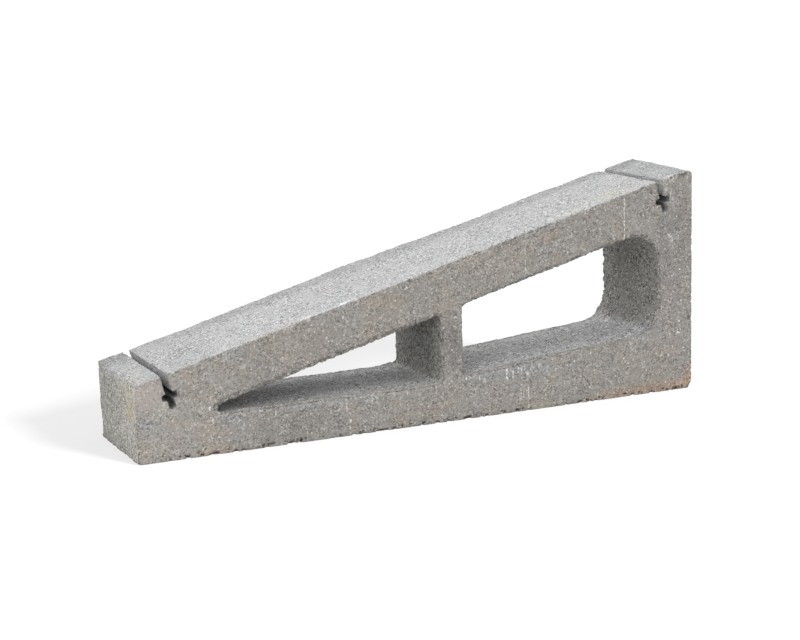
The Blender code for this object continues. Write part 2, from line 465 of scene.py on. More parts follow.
def wear(points, distance):
    """How deep each point is worn, in metres, and how damaged and how chipped it is, from 0 to 1."""
    x, y, z = points.T
    zones = edge_zones(points)
    near_edge = 1.0 - smoothstep(0.004, 0.016, distance)
    smooth_corner = (x < SMOOTH_CORNER[0]) & (y < SMOOTH_CORNER[1]) & (z > SMOOTH_CORNER[2])

    places = [zones[name] for name in ("window", "slot", "end", "base")]
    skins = [-window_fill(points, near_edge), SLOT_SKIN, END_SKIN, BASE_SKIN]
    skin = np.select(places, skins, SKIN)
    waves = 0.0006 * (noise(points, 0.070, 1) - 0.5) + 0.0005 * (noise(points, 0.020, 2) - 0.5)
    relief = deck_unevenness(points, roughness(points, zones, near_edge), zones["deck"])
    relief = np.where(smooth_corner, 0.35 * relief, relief)
    pits = smoothstep(0.74, 0.90, noise(points, 0.0058, 5))
    pits = pits * smoothstep(0.30, 0.65, noise(points, 0.030, 13))
    crumble = crumbling(points, distance)
    crumble = np.where(smooth_corner, 0.5 * crumble, crumble)
    chips = chip_depth(points)

    depth = skin + waves + relief + PIT_DEPTH * pits + crumble + chips + sill_rounding(points, distance)
    return depth, np.maximum(0.8 * pits, crumble / FULL_CRUMBLE), chips / FULL_CHIP


def read_vectors(items, name):
    """The named vector of each item, as rows of x, y and z."""
    values = np.empty(len(items) * 3)
    items.foreach_get(name, values)
    return values.reshape(-1, 3)


def move_vertices(mesh, points):
    """Moves the mesh's vertices to these points, kept inside the CAD box, and returns them."""
    low, high = (np.array(corner) for corner in cad_box)
    points = np.clip(points, low, high)
    mesh.vertices.foreach_set("co", points.ravel())
    mesh.update()
    return points


def closed_copy(name):
    """The CAD block as one welded mesh, with its sharp edges as pairs of ends."""
    bm = bmesh.new()
    bm.from_mesh(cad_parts[name].data)
    bmesh.ops.remove_doubles(bm, verts=bm.verts, dist=WELD)
    mesh = bpy.data.meshes.new("cast_block")
    bm.to_mesh(mesh)
    arrises = [
        (edge.verts[0].co.copy(), edge.verts[1].co.copy())
        for edge in bm.edges
        if len(edge.link_faces) == 2 and edge.calc_face_angle() > ARRIS_ANGLE
    ]
    bm.free()
    return mesh, arrises


def modified(obj, name, kind, **settings):
    """The object's new mesh after one modifier."""
    modifier = obj.modifiers.new(name, kind)
    for setting, value in settings.items():
        setattr(modifier, setting, value)
    graph = bpy.context.evaluated_depsgraph_get()
    mesh = bpy.data.meshes.new_from_object(obj.evaluated_get(graph))
    obj.modifiers.clear()
    old = obj.data
    obj.data = mesh
    bpy.data.meshes.remove(old)
    return mesh


def tree_of(points):
    """A search tree of these points."""
    tree = kdtree.KDTree(len(points))
    for i, point in enumerate(points):
        tree.insert(point, i)
    tree.balance()
    return tree


def arris_distance(points, arrises):
    """How far each point is from the nearest sharp edge of the block."""
    samples = []
    for start, end in arrises:
        count = max(1, math.ceil((end - start).length / ARRIS_SAMPLE))
        samples += [start.lerp(end, i / count) for i in range(count + 1)]
    tree = tree_of(samples)
    return np.array([tree.find(point)[2] for point in points.tolist()])


def zone_fields(points, normals):
    """How much each point belongs to each zone of the concrete, from 0 to 1."""
    x = points[:, 0]
    to_deck = under(points, DECK)
    inner = edge_zones(points)["inner"]
    upward = inner * smoothstep(0.55, 0.90, normals[:, 2])
    return {
        "deck": 1.0 - smoothstep(0.0008, 0.0022, to_deck),
        "cast_side": 1.0 - smoothstep(0.0008, 0.0030 + 0.0060 * upward, to_side(points)),
        # Up-facing window floors, fading out at their arrises: the material paints light on them
        "sill": upward * smoothstep(0.000, 0.024, to_side(points)),
        "slot": inner * smoothstep(0.064, 0.060, to_deck),
        "end_block": np.maximum(smoothstep(-0.444, -0.450, x), smoothstep(0.428, 0.434, x)),
        "end_face": 1.0 - smoothstep(0.0008, 0.0030, to_end(points)),
    }


def worn_block():
    """The CAD block resurfaced, worn and thinned, with the fields that its material reads."""
    mesh, arrises = closed_copy(NODE)
    block = bpy.data.objects.new("cast_block", mesh)
    bpy.context.scene.collection.objects.link(block)
    mesh = modified(block, "even_surface", "REMESH", mode="VOXEL", voxel_size=VOXEL)

    normals = read_vectors(mesh.vertex_normals, "vector")
    points = sharpened(read_vectors(mesh.vertices, "co"))
    depth, damage, chipped = wear(points, arris_distance(points, arrises))
    moved = move_vertices(mesh, worn_round(points) - normals * depth[:, None])

    triangles = sum(len(face.vertices) - 2 for face in mesh.polygons)
    mesh = modified(block, "fewer_faces", "DECIMATE", ratio=min(1.0, TARGET_TRIANGLES / triangles))
    final = move_vertices(mesh, read_vectors(mesh.vertices, "co"))
    mesh.shade_smooth()

    tree = tree_of(moved)
    nearest = np.array([tree.find(point)[1] for point in final.tolist()])
    fields = {"damage": damage[nearest], "chip": chipped[nearest]}
    fields.update(zone_fields(points[nearest], normals[nearest]))
    for name, values in fields.items():
        field = mesh.attributes.new(name, "FLOAT", "POINT")
        field.data.foreach_set("value", np.clip(values, 0.0, 1.0).astype(np.float32))
    return block


# The colour sockets of a mix node, by number
MIX_FACTOR, MIX_A, MIX_B, MIX_RESULT = 0, 6, 7, 2


class Graph:
    """Short calls for building the nodes of a material or of the world."""

    def __init__(self, owner):
        owner.use_nodes = True
        self.tree = owner.node_tree

    def fill(self, node, inputs):
        """Links the node's inputs to sockets, or sets them to values."""
        for key, value in inputs.items():
            if isinstance(value, bpy.types.NodeSocket):
                self.tree.links.new(value, node.inputs[key])
            else:
                node.inputs[key].default_value = value

    def node(self, kind, inputs=None, output=0, **settings):
        """One output of a new shader node of this kind."""
        node = self.tree.nodes.new("ShaderNode" + kind)
        for name, value in settings.items():
            setattr(node, name, value)
        self.fill(node, inputs or {})
        return node.outputs[output]

    def math(self, operation, a, b=0.0):
        return self.node("Math", {0: a, 1: b}, operation=operation)

    def chain(self, operation, terms):
        """Two or more terms joined by one operation."""
        total = terms[0]
        for term in terms[1:]:
            total = self.math(operation, total, term)
        return total

    def add(self, *terms):
        return self.chain("ADD", terms)

    def times(self, *factors):
        return self.chain("MULTIPLY", factors)

    def most(self, *values):
        return self.chain("MAXIMUM", values)

    def minus(self, a, b):
        return self.math("SUBTRACT", a, b)

    def centred(self, value):
        """A value from 0 to 1 moved to lie around 0."""
        return self.minus(value, 0.5)

    def step(self, value, low, high, start=0.0, end=1.0):
        """Smooth change from start to end as value goes from low to high."""
        inputs = {0: value, 1: low, 2: high, 3: start, 4: end}
        return self.node("MapRange", inputs, interpolation_type="SMOOTHSTEP")

    def vector(self, operation, a, b, output=0):
        return self.node("VectorMath", {0: a, 1: b}, output, operation=operation)

    def scaled(self, colour, factor):
        return self.node("VectorMath", {0: colour, "Scale": factor}, operation="SCALE")

    def axis(self, where, number):
        """One of a vector's x, y and z."""
        return self.node("SeparateXYZ", {0: where}, number)

    def noise(self, where, size, detail=1.0, roughness=0.5, offset=0.0):
        """Noise from 0 to 1 with lumps about size across, and another one for each offset."""
        moved = self.vector("ADD", where, (offset, offset * 1.7, -offset))
        inputs = {"Vector": moved, "Scale": 1.0 / size, "Detail": detail, "Roughness": roughness}
        return self.node("TexNoise", inputs)

    def cells(self, where, size, channel=0):
        """A random value for each cell of about this size, and the distance from its middle."""
        colour = self.node("TexVoronoi", {"Vector": where, "Scale": 1.0 / size}, "Color")
        return self.node("SeparateColor", {0: colour}, channel), colour.node.outputs["Distance"]

    def mix(self, factor, a, b):
        """A colour between a and b."""
        inputs = {MIX_FACTOR: factor, MIX_A: a, MIX_B: b}
        return self.node("Mix", inputs, MIX_RESULT, data_type="RGBA")

    def field(self, name):
        """One of the fields that worn_block wrote on the mesh."""
        return self.node("Attribute", {}, "Fac", attribute_name=name)


def rgb(r, g, b):
    return (r, g, b, 1.0)


WHITE = rgb(1.0, 1.0, 1.0)

# Concrete: clean tones of each part of the block, and the windows' floors paler with painted light
FRONT_TONE = rgb(0.347, 0.33, 0.307)
LOW_FRONT_TONE = rgb(0.385, 0.365, 0.34)
WINDOW_TONE = rgb(0.318, 0.311, 0.293)
PAINTED_LIGHT_SILL_TONE = rgb(0.548, 0.55, 0.55)
SLOT_TONE = rgb(0.43, 0.433, 0.438)
END_TONE = rgb(0.34, 0.33, 0.298)
DECK_TONE = rgb(0.42, 0.42, 0.42)
END_BLOCK_TONE = rgb(0.35, 0.352, 0.356)

# Factors for red, green and blue where the concrete is warmer or cooler
WARMER = (1.05, 0.99, 0.92)
COOLER = (0.955, 0.975, 0.99)

# Grains and lime, and painted shade in the chips and deep in the slots
PALE_GRAIN = rgb(0.72, 0.70, 0.66)
DARK_GRAIN = rgb(0.17, 0.165, 0.155)
PALE_STONE = rgb(0.80, 0.78, 0.74)
LIME_MARK = rgb(0.68, 0.67, 0.64)
LIME_TONE = rgb(0.86, 0.85, 0.83)
PAINTED_CHIP_SHADE = rgb(0.15, 0.143, 0.132)
SLOT_SHADE = rgb(0.11, 0.108, 0.104)

# Painted shade in pores, broken arrises and open holes, browner at the base: their tone higher up and there
PAINTED_PORE_SHADES = rgb(0.12, 0.115, 0.105), rgb(0.13, 0.09, 0.07)
PAINTED_BROKEN_SHADES = rgb(0.27, 0.26, 0.245), rgb(0.095, 0.068, 0.055)
PAINTED_HOLE_SHADES_AND_MARKS = rgb(0.105, 0.098, 0.09), rgb(0.085, 0.062, 0.05)

# Sizes of what the concrete shows
GRAIN_SIZE = 0.0022
COARSE_SIZE = 0.0042
STONE_SIZE = 0.0062
PORE_SIZE = 0.0058
WEB_SIZE = 0.0065

# Stains, with a few painted highlights and painted shade: centre, half sizes, colour, strength
STAINS_AND_PAINTED_LIGHT = [
    ((-0.50, -0.064, 0.112), (0.02, 0.044, 0.02), (0.43, 0.40, 0.32), 0.50),
    ((-0.50, -0.062, 0.08), (0.02, 0.032, 0.022), (0.41, 0.36, 0.24), 0.50),
    ((-0.50, 0.04, 0.10), (0.02, 0.06, 0.03), (0.30, 0.30, 0.29), 0.50),
    ((-0.478, -0.10, 0.062), (0.024, 0.014, 0.018), (0.325, 0.333, 0.34), 0.50),
    ((0.225, -0.10, 0.29), (0.026, 0.012, 0.013), (0.40, 0.318, 0.27), 0.60),
    ((-0.079, -0.10, 0.213), (0.044, 0.012, 0.014), (0.40, 0.35, 0.285), 0.55),
    ((-0.349, -0.10, 0.053), (0.028, 0.012, 0.014), (0.36, 0.358, 0.375), 0.50),
    ((-0.25, -0.10, 0.028), (0.09, 0.012, 0.03), (0.295, 0.28, 0.262), 0.55),
    ((-0.19, -0.10, 0.165), (0.055, 0.012, 0.034), (0.305, 0.29, 0.268), 0.50),
    ((0.275, -0.10, 0.30), (0.065, 0.012, 0.034), (0.31, 0.293, 0.27), 0.45),
    ((-0.34, 0.00, 0.086), (0.05, 0.092, 0.026), (0.17, 0.168, 0.162), 0.60),
    ((-0.15, -0.093, 0.2165), (0.022, 0.007, 0.006), (0.66, 0.66, 0.65), 0.80),
    ((-0.213, -0.095, 0.1995), (0.02, 0.007, 0.005), (0.60, 0.60, 0.59), 0.70),
    ((-0.375, -0.10, 0.006), (0.05, 0.014, 0.01), (0.42, 0.35, 0.26), 0.55),
    ((-0.478, -0.10, 0.108), (0.032, 0.016, 0.03), (0.47, 0.415, 0.385), 0.75),
    ((-0.458, -0.10, 0.082), (0.028, 0.012, 0.024), (0.42, 0.405, 0.37), 0.70),
    ((-0.38, -0.10, 0.03), (0.04, 0.012, 0.026), (0.385, 0.34, 0.30), 0.55),
    ((-0.34, -0.10, 0.155), (0.022, 0.012, 0.014), (0.38, 0.395, 0.395), 0.60),
    ((0.42, -0.10, 0.004), (0.14, 0.02, 0.019), (0.41, 0.30, 0.225), 0.70),
    ((0.498, -0.10, 0.02), (0.016, 0.02, 0.022), (0.50, 0.325, 0.235), 0.65),
    ((0.474, -0.10, 0.01), (0.026, 0.02, 0.013), (0.47, 0.325, 0.25), 0.55),
    ((0.486, -0.10, 0.325), (0.018, 0.012, 0.036), (0.33, 0.29, 0.262), 0.55),
    # Painted shade: darkens the sill's lit front roll at the foot of the heel
    ((0.41, -0.094, 0.12), (0.036, 0.024, 0.022), (0.30, 0.30, 0.293), 0.80),
    ((0.15, -0.10, 0.069), (0.13, 0.012, 0.014), (0.35, 0.353, 0.352), 0.80),
    ((-0.18, -0.10, 0.058), (0.15, 0.012, 0.01), (0.35, 0.35, 0.348), 0.65),
    ((-0.482, -0.035, 0.13), (0.013, 0.055, 0.01), (0.42, 0.41, 0.385), 0.45),
    ((-0.50, -0.086, 0.079), (0.02, 0.009, 0.012), (0.47, 0.375, 0.20), 0.50),
    ((0.205, -0.10, 0.004), (0.03, 0.014, 0.01), (0.40, 0.365, 0.27), 0.55),
    ((0.355, -0.068, 0.346), (0.042, 0.012, 0.014), (0.46, 0.45, 0.33), 0.60),
    ((0.275, -0.082, 0.325), (0.05, 0.012, 0.014), (0.50, 0.495, 0.43), 0.45),
    ((0.455, -0.10, 0.16), (0.05, 0.012, 0.11), (0.33, 0.303, 0.294), 0.50),
    ((0.458, -0.10, 0.27), (0.046, 0.012, 0.085), (0.265, 0.257, 0.25), 0.65),
    ((0.11, -0.10, 0.255), (0.09, 0.012, 0.03), (0.39, 0.35, 0.30), 0.40),
    ((-0.24, -0.10, 0.17), (0.09, 0.012, 0.03), (0.39, 0.355, 0.305), 0.40),
    ((0.039, -0.10, 0.13), (0.024, 0.012, 0.06), (0.25, 0.24, 0.226), 0.85),
    # Painted highlights: light lines on the worn-round lip of the high slot and along the top arris beside
    # it
    ((0.4463, -0.10, 0.35), (0.004, 0.006, 0.018), (0.50, 0.49, 0.475), 0.70),
    ((0.458, -0.10, 0.373), (0.018, 0.008, 0.006), (0.50, 0.49, 0.475), 0.60),
    ((-0.4545, -0.10, 0.088), (0.003, 0.006, 0.022), (0.60, 0.61, 0.57), 0.60),
    ((0.46, -0.10, 0.269), (0.016, 0.012, 0.012), (0.42, 0.405, 0.39), 0.40),
]

# Smooth patches of paste: centre, half sizes and how much of the grain still shows
SMOOTH_PATCHES = [
    ((-0.476, -0.10, 0.103), (0.034, 0.034, 0.034), 0.40),
    ((-0.422, -0.10, 0.1225), (0.018, 0.02, 0.01), 0.45),
    ((-0.434, -0.10, 0.051), (0.022, 0.02, 0.018), 0.50),
    ((-0.401, -0.10, 0.034), (0.015, 0.02, 0.016), 0.45),
    ((-0.20, -0.10, 0.17), (0.06, 0.02, 0.016), 0.60),
    ((0.426, -0.10, 0.098), (0.018, 0.02, 0.012), 0.45),
    ((0.39, -0.10, 0.038), (0.014, 0.02, 0.012), 0.50),
    ((0.206, -0.10, 0.006), (0.026, 0.02, 0.008), 0.50),
    ((-0.468, -0.072, 0.1335), (0.022, 0.03, 0.012), 0.50),
    ((-0.419, 0.07, 0.146), (0.04, 0.022, 0.014), 0.50),
]

# White lime streaks down the front: x, top, bottom, half width and strength
STREAKS = [
    (0.366, 0.345, 0.268, 0.0009, 0.95), (0.176, 0.287, 0.231, 0.0009, 0.65),
    (-0.153, 0.206, 0.188, 0.0015, 1.00), (-0.149, 0.182, 0.172, 0.0009, 0.80),
    (-0.146, 0.01, 0.003, 0.001, 0.90), (0.179, 0.046, 0.003, 0.0009, 0.85),
    (0.139, 0.077, 0.056, 0.0019, 0.95), (0.15, 0.075, 0.058, 0.0014, 0.90),
    (0.16, 0.079, 0.067, 0.0014, 0.95), (0.166, 0.08, 0.064, 0.0012, 0.85),
    (0.172, 0.08, 0.071, 0.0014, 0.95), (0.184, 0.078, 0.069, 0.0012, 0.80),
    (0.199, 0.08, 0.071, 0.0013, 0.85), (0.216, 0.074, 0.065, 0.0012, 0.75),
    (0.231, 0.07, 0.062, 0.0013, 0.75), (0.063, 0.074, 0.064, 0.0012, 0.95),
    (0.088, 0.071, 0.063, 0.0013, 0.95), (-0.068, 0.061, 0.053, 0.0013, 0.95),
    (-0.044, 0.061, 0.054, 0.0012, 0.95), (0.008, 0.066, 0.059, 0.001, 0.95),
    (-0.107, 0.058, 0.05, 0.0012, 0.95), (-0.151, 0.057, 0.033, 0.0009, 0.95),
    (-0.273, 0.058, 0.05, 0.0012, 0.95), (-0.299, 0.065, 0.058, 0.0011, 0.95),
    (0.458, 0.361, 0.318, 0.0006, 0.70),
]

# Lime spots on the front, white and fainter ones: x, height, radius
BRIGHT_STRENGTH = 0.90
BRIGHT_SPOTS = [
    (-0.381, 0.076, 0.0026), (-0.381, 0.073, 0.0022), (-0.377, 0.056, 0.0018), (-0.145, 0.025, 0.0022),
    (-0.146, 0.023, 0.0018), (-0.146, 0.013, 0.002), (-0.04, 0.231, 0.0022), (-0.043, 0.229, 0.0016),
    (0.419, 0.17, 0.0018), (0.479, 0.157, 0.0017), (0.476, 0.212, 0.0019), (0.475, 0.121, 0.0021),
    (0.472, 0.102, 0.002), (0.475, 0.10, 0.0018), (0.471, 0.099, 0.0016), (0.454, 0.062, 0.0018),
    (0.483, 0.073, 0.0018), (0.462, 0.077, 0.0017), (0.395, 0.102, 0.0021), (0.398, 0.103, 0.0016),
    (0.373, 0.058, 0.0016), (0.364, 0.067, 0.0016), (0.439, 0.128, 0.0016), (0.448, 0.016, 0.0016),
]
FAINT_STRENGTH = 0.75
FAINT_SPOTS = [
    (0.46, 0.202, 0.0018), (0.434, 0.209, 0.002), (0.432, 0.215, 0.0024), (0.453, 0.274, 0.0018),
    (0.455, 0.272, 0.0016), (0.458, 0.269, 0.0019), (0.473, 0.27, 0.002), (0.461, 0.263, 0.0018),
    (0.038, 0.12, 0.002), (0.267, 0.074, 0.0018), (0.298, 0.084, 0.0018), (0.178, 0.063, 0.0028),
    (0.175, 0.066, 0.0017),
]

# Open holes, painted dark as their shade, and dark marks on the front: x, height, radius
DARK_STRENGTH = 0.80
DARK_SPOTS = [
    (-0.487, 0.07, 0.0018), (-0.461, 0.01, 0.002), (-0.403, 0.008, 0.003), (-0.391, 0.012, 0.0024),
    (-0.417, 0.005, 0.0024), (-0.035, 0.242, 0.0018), (0.084, 0.215, 0.0022), (0.157, 0.251, 0.0018),
    (0.216, 0.239, 0.0024), (0.226, 0.30, 0.0018), (-0.287, 0.004, 0.0032), (-0.245, 0.005, 0.0032),
    (-0.238, 0.006, 0.0028), (-0.232, 0.007, 0.0026), (-0.224, 0.007, 0.0028), (-0.193, 0.005, 0.0024),
    (-0.129, 0.004, 0.0022), (-0.124, 0.005, 0.002), (-0.106, 0.004, 0.0022), (-0.082, 0.003, 0.0024),
    (-0.353, 0.006, 0.0022), (0.481, 0.004, 0.003), (0.475, 0.004, 0.0028), (0.469, 0.004, 0.0028),
    (0.462, 0.003, 0.0024), (0.45, 0.003, 0.0028), (0.40, 0.003, 0.0026), (0.394, 0.003, 0.0022),
    (0.233, 0.003, 0.0026), (0.183, 0.004, 0.0022), (0.42, 0.348, 0.0024), (0.476, 0.374, 0.0028),
    (0.483, 0.373, 0.0024), (0.49, 0.376, 0.0022), (0.466, 0.375, 0.0022), (0.41, 0.274, 0.002),
    (0.495, 0.124, 0.0026),
]


class Concrete(Graph):
    """Cast concrete: layers of colour, a relief and the places, zones and grain that they share."""

    def __init__(self, material):
        super().__init__(material)
        self.set_places()
        self.set_zones()
        self.set_grain()
        self.set_open_grain()

    def wander(self, size, detail):
        """A vector that wanders around zero."""
        inputs = {"Vector": self.place, "Scale": 1.0 / size, "Detail": detail}
        return self.vector("SUBTRACT", self.node("TexNoise", inputs, "Color"), (0.5, 0.5, 0.5))

    def moved(self, shift, amount):
        return self.vector("ADD", self.place, self.scaled(shift, amount))

    def set_places(self):
        """The place on the block, and the same place moved unevenly, for ragged edges."""
        self.place = self.node("TexCoord", output="Object")
        shift = self.wander(0.012, 2.0)
        self.warped = self.moved(shift, 0.010)
        self.near_place = self.moved(shift, 0.0015)
        self.ragged_place = self.moved(self.wander(0.0024, 1.0), 0.0040)
        self.x = self.axis(self.near_place, 0)
        self.y = self.axis(self.near_place, 1)
        self.height = self.axis(self.place, 2)

    def set_zones(self):
        """Which part of the block it is, from 0 to 1."""
        self.side, self.deck = self.field("cast_side"), self.field("deck")
        self.end_face, self.end_block = self.field("end_face"), self.field("end_block")
        self.in_slot = self.field("slot")
        outer = self.most(self.side, self.deck, self.end_face)
        self.inside = self.times(self.minus(1.0, outer), self.step(self.in_slot, 0.0, 1.0, 1.0, 0.35))
        self.near_base = self.step(self.height, 0.022, 0.004)
        self.low_down = self.step(self.height, 0.012, 0.003)
        self.patch = self.noise(self.place, 0.080, 3.0)
        self.wavy_y = self.add(self.y, self.times(self.centred(self.patch), 0.04))
        self.far_band = self.times(self.deck, self.step(self.wavy_y, 0.038, 0.076))

    def set_grain(self):
        """Grains, sand, pale stones, and pores, most of them in the openings and near the base."""
        self.grain, self.grain_near = self.cells(self.near_place, GRAIN_SIZE)
        self.sand = self.noise(self.place, GRAIN_SIZE, 3.0, 0.75)
        stone, stone_near = self.cells(self.near_place, STONE_SIZE, 1)
        self.stones = self.times(self.step(stone, 0.965, 0.97), self.step(stone_near, 0.35, 0.15))
        pore, pore_near = self.cells(self.place, PORE_SIZE, 2)
        pore = self.add(pore, self.times(self.inside, 0.30), self.times(self.near_base, 0.22))
        self.pore_mask = self.times(self.step(pore, 0.80, 0.84), self.step(pore_near, 0.26, 0.10))

    def set_open_grain(self):
        """How much of the grain shows, which is least on smooth patches of paste."""
        shown = self.step(self.noise(self.place, 0.028, 2.0, 0.5, offset=2.2), 0.38, 0.62, 0.60, 1.25)
        for centre, half, kept in SMOOTH_PATCHES:
            far = self.ellipsoid_distance(centre, half)
            shown = self.times(shown, self.step(far, 0.60, 1.05, kept, 1.0))
        self.open_grain = self.times(shown, self.step(self.far_band, 0.0, 1.0, 1.0, 0.75))

    def ellipsoid_distance(self, centre, half):
        """Distance from the centre, counted in half sizes."""
        away = self.vector("ADD", self.warped, tuple(-c for c in centre))
        squeezed = self.vector("MULTIPLY", away, tuple(1 / h for h in half))
        return self.node("VectorMath", {0: squeezed}, "Value", operation="LENGTH")

    def spots_mask(self, spots, strength):
        """The strength on any of the spots on the front, 0 elsewhere."""
        mask = 0.0
        for x, height, radius in spots:
            away = self.vector("DISTANCE", self.ragged_place, (x, FRONT_Y, height), "Value")
            mask = self.most(mask, self.step(away, radius * 1.1, radius * 0.6, 0.0, strength))
        return mask

    def base_tones(self):
        """The clean tone of each part, warmer and cooler in broad patches."""
        front = self.mix(self.step(self.x, -0.40, -0.30), LOW_FRONT_TONE, FRONT_TONE)
        # Painted light: the windows' up-facing floors get a paler tone, fading out at their arrises
        hollow = self.mix(self.field("sill"), WINDOW_TONE, PAINTED_LIGHT_SILL_TONE)
        hollow = self.mix(self.in_slot, hollow, SLOT_TONE)
        colour = self.mix(self.side, hollow, front)
        colour = self.mix(self.end_face, colour, END_TONE)
        colour = self.mix(self.deck, colour, DECK_TONE)
        colour = self.mix(self.times(self.end_block, self.deck), colour, END_BLOCK_TONE)
        warm = self.step(self.noise(self.place, 0.045, 3.0, offset=3.1), 0.42, 0.66, 0.0, 0.7)
        warmer = self.mix(self.side, colour, self.vector("MULTIPLY", colour, WARMER))
        colour = self.mix(warm, colour, warmer)
        cool = self.step(self.noise(self.place, 0.035, 2.0, offset=7.7), 0.48, 0.70, 0.0, 0.6)
        return self.mix(cool, colour, self.vector("MULTIPLY", colour, COOLER))

    def stained_and_painted_light(self, colour):
        # Stains, and painted highlights and shade, each mixed in over an ellipsoid
        for centre, half, patch_colour, strength in STAINS_AND_PAINTED_LIGHT:
            far = self.ellipsoid_distance(centre, half)
            colour = self.mix(self.step(far, 0.35, 1.15, strength, 0.0), colour, rgb(*patch_colour))
        return colour

    def bands(self):
        """Broad light and dark on the deck and the ends."""
        low_part = self.times(self.step(self.x, -0.340, -0.385), self.minus(1.0, self.end_block))
        near_band = self.times(self.deck, self.step(self.wavy_y, -0.040, -0.090))
        near_line = self.times(self.deck, self.step(self.y, -0.0945, -0.0985))
        return self.add(
            self.times(self.far_band, self.add(-0.225, self.times(low_part, 0.140))),
            self.times(near_band, 0.03),
            self.times(near_line, 0.05),
            self.times(low_part, self.deck, -0.09),
            self.times(self.end_face, self.step(self.y, -0.070, 0.085, 0.06, -0.10)),
        )

    def speckle(self):
        """Light and dark of grains, sand, mottle, and strokes along the deck."""
        coarse, _ = self.cells(self.near_place, COARSE_SIZE)
        mottle = self.noise(self.place, 0.0075, 2.0, 0.6, offset=4.4)
        drawn = self.vector("MULTIPLY", self.place, (0.22, 1.0, 0.22))
        strokes = self.noise(drawn, 0.0034, 3.0, 0.6, offset=6.2)
        inputs = {"Vector": self.warped, "Scale": 1.0 / WEB_SIZE}
        web_edge = self.node("TexVoronoi", inputs, feature="DISTANCE_TO_EDGE")
        web = self.times(self.step(web_edge, 0.16, 0.03), self.step(mottle, 0.46, 0.62))
        blotchy = self.add(1.0, self.times(self.deck, -0.75))
        return self.add(
            self.times(self.centred(self.grain), 0.52),
            self.times(self.centred(self.sand), 1.70),
            self.times(self.centred(coarse), blotchy, 0.13),
            self.times(self.centred(mottle), blotchy, 0.22),
            self.times(self.minus(web, 0.15), blotchy, 0.22),
            self.times(self.centred(strokes), self.deck, 0.44),
        )

    def toned(self, colour):
        """Light and dark, both broad and of the grain."""
        inside, deck = self.times(self.inside, 1.15), self.times(self.deck, 0.62)
        end_face = self.times(self.end_face, 0.80)
        contrast = self.times(self.open_grain, self.add(1.0, inside, deck, end_face))
        broad = self.add(self.times(self.centred(self.patch), 0.16), self.bands())
        return self.scaled(colour, self.add(self.times(self.speckle(), contrast), broad, 1.0))

    def grained(self, colour):
        """Single pale and dark grains and pale stones."""
        colour = self.mix(self.step(self.grain, 0.955, 0.975, 0.0, 0.50), colour, PALE_GRAIN)
        colour = self.mix(self.step(self.grain, 0.06, 0.03, 0.0, 0.55), colour, DARK_GRAIN)
        return self.mix(self.times(self.stones, 0.6), colour, PALE_STONE)

    def marked(self, colour):
        """Thin curved lime marks on the sides."""
        contour = self.math("ABSOLUTE", self.centred(self.noise(self.place, 0.011, 1.0, offset=8.8)))
        some = self.step(self.noise(self.place, 0.017, 1.0, offset=3.7), 0.56, 0.66)
        marks = self.times(self.step(contour, 0.020, 0.006), some)
        return self.mix(self.times(marks, self.side, 0.60), colour, LIME_MARK)

    def painted_pore_shade(self, colour):
        # Painted shade in the pores, browner near the base
        pore = self.mix(self.near_base, *PAINTED_PORE_SHADES)
        return self.mix(self.times(self.pore_mask, 0.65), colour, pore)

    def painted_damage_shade(self, colour):
        """Painted shade of broken arrises and pits, chips and open holes, with dark marks."""
        broken_shade = self.step(self.field("damage"), 0.20, 0.95)
        broken_shade = self.times(broken_shade, self.step(self.low_down, 0.0, 1.0, 0.45, 0.85))
        colour = self.mix(broken_shade, colour, self.mix(self.low_down, *PAINTED_BROKEN_SHADES))
        colour = self.mix(self.times(self.step(self.field("chip"), 0.25, 0.85), 0.55), colour, PAINTED_CHIP_SHADE)
        hole_shade = self.spots_mask(DARK_SPOTS, DARK_STRENGTH)
        return self.mix(hole_shade, colour, self.mix(self.low_down, *PAINTED_HOLE_SHADES_AND_MARKS))

    def painted_slot_shade(self, colour):
        """Painted shade: the slots darken with depth."""
        from_deck = self.vector("ADD", self.place, tuple(-DECK_POINT))
        below_deck = self.vector("DOT_PRODUCT", from_deck, tuple(-DECK_NORMAL), "Value")
        behind = self.step(self.y, FRONT_Y + 0.002, FRONT_Y + 0.016)
        deep = self.times(self.step(below_deck, 0.024, 0.036), behind, self.in_slot)
        return self.mix(self.times(deep, 0.75), colour, SLOT_SHADE)

    def streaked(self, colour):
        """Lime streaks, broken here and there, and lime spots, on the front only."""
        streaks = 0.0
        for at, top, bottom, half_width, strength in STREAKS:
            across = self.math("ABSOLUTE", self.minus(self.x, at))
            line = self.step(across, half_width * 1.4, half_width * 0.5)
            above = self.step(self.height, bottom - 0.003, bottom + 0.004)
            below = self.step(self.height, top + 0.002, top - 0.005)
            streaks = self.most(streaks, self.times(line, self.times(above, below), strength))
        breaks = self.step(self.noise(self.place, 0.0045, 2.0, 0.6, offset=1.3), 0.42, 0.58)
        on_front = self.times(self.side, self.step(self.y, 0.02, -0.02))
        streaks = self.times(streaks, on_front, breaks)
        bright = self.spots_mask(BRIGHT_SPOTS, BRIGHT_STRENGTH)
        faint = self.spots_mask(FAINT_SPOTS, FAINT_STRENGTH)
        return self.mix(self.most(streaks, bright, faint), colour, LIME_TONE)

    def bump(self):
        """Relief of the grain, in millimetres."""
        lumps = self.noise(self.place, 0.0042, 2.0, 0.55, offset=5.0)
        open_texture = self.times(self.open_grain, self.add(1.0, self.times(self.inside, 0.8)))
        relief = self.times(open_texture, self.add(
            self.times(self.grain_near, -0.30),
            self.times(self.grain, 0.20),
            self.times(self.sand, 0.75),
            self.times(lumps, 0.80),
            self.times(self.pore_mask, -0.8),
            self.times(self.stones, 0.20),
        ))
        return self.node("Bump", {"Height": relief, "Strength": 1.0, "Distance": MILLIMETRE})


